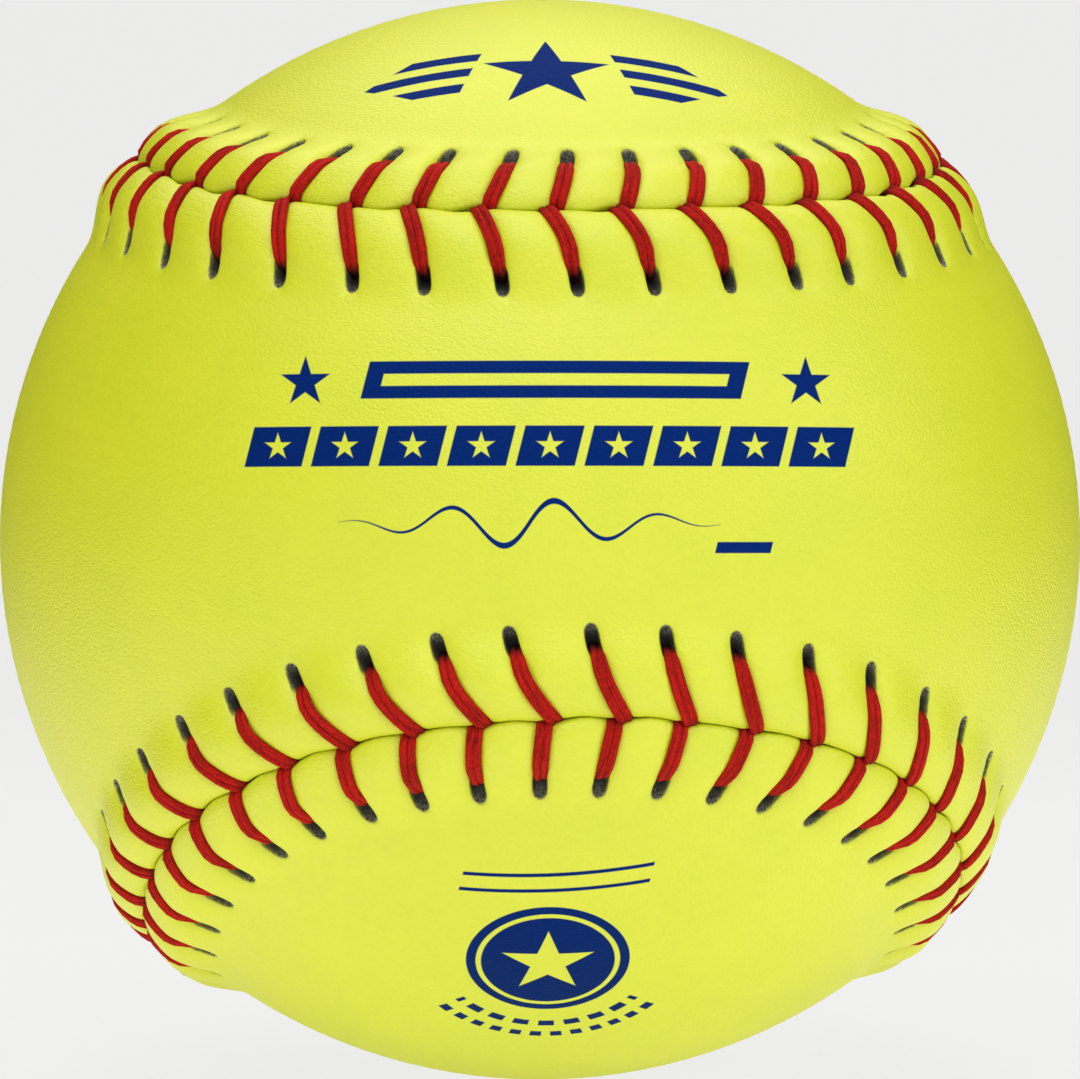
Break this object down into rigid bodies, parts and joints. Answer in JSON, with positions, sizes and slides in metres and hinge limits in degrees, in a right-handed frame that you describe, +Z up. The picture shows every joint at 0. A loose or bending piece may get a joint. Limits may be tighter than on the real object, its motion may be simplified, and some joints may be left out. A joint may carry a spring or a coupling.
{
  "type": "softball",
  "caption": "Raised-seam softball: a solid core in two figure-eight leather panels, laced together with doubled thread.",
  "frame": {"origin": "the centre of the ball", "axes": "+Z up, -Y the front, where the waist of the front panel faces the viewer, tilted 8 degrees up and turned 4 degrees right"},
  "size_m": [0.0888, 0.0899, 0.0888],
  "materials": {
    "core_foam": "moulded, matte",
    "cement": "matte",
    "cover_leather": "pebbled, satin",
    "thread": "waxed, slightly fuzzy"
  },
  "bodies": {
    "root": {"core": "core_foam", "cement_film": "cement", "cover_panel_front": "cover_leather", "cover_panel_back": "cover_leather", "stitches_front": "thread", "stitches_back": "thread", "thread_under_front": "thread", "thread_under_back": "thread"}
  },
  "joints": []
}
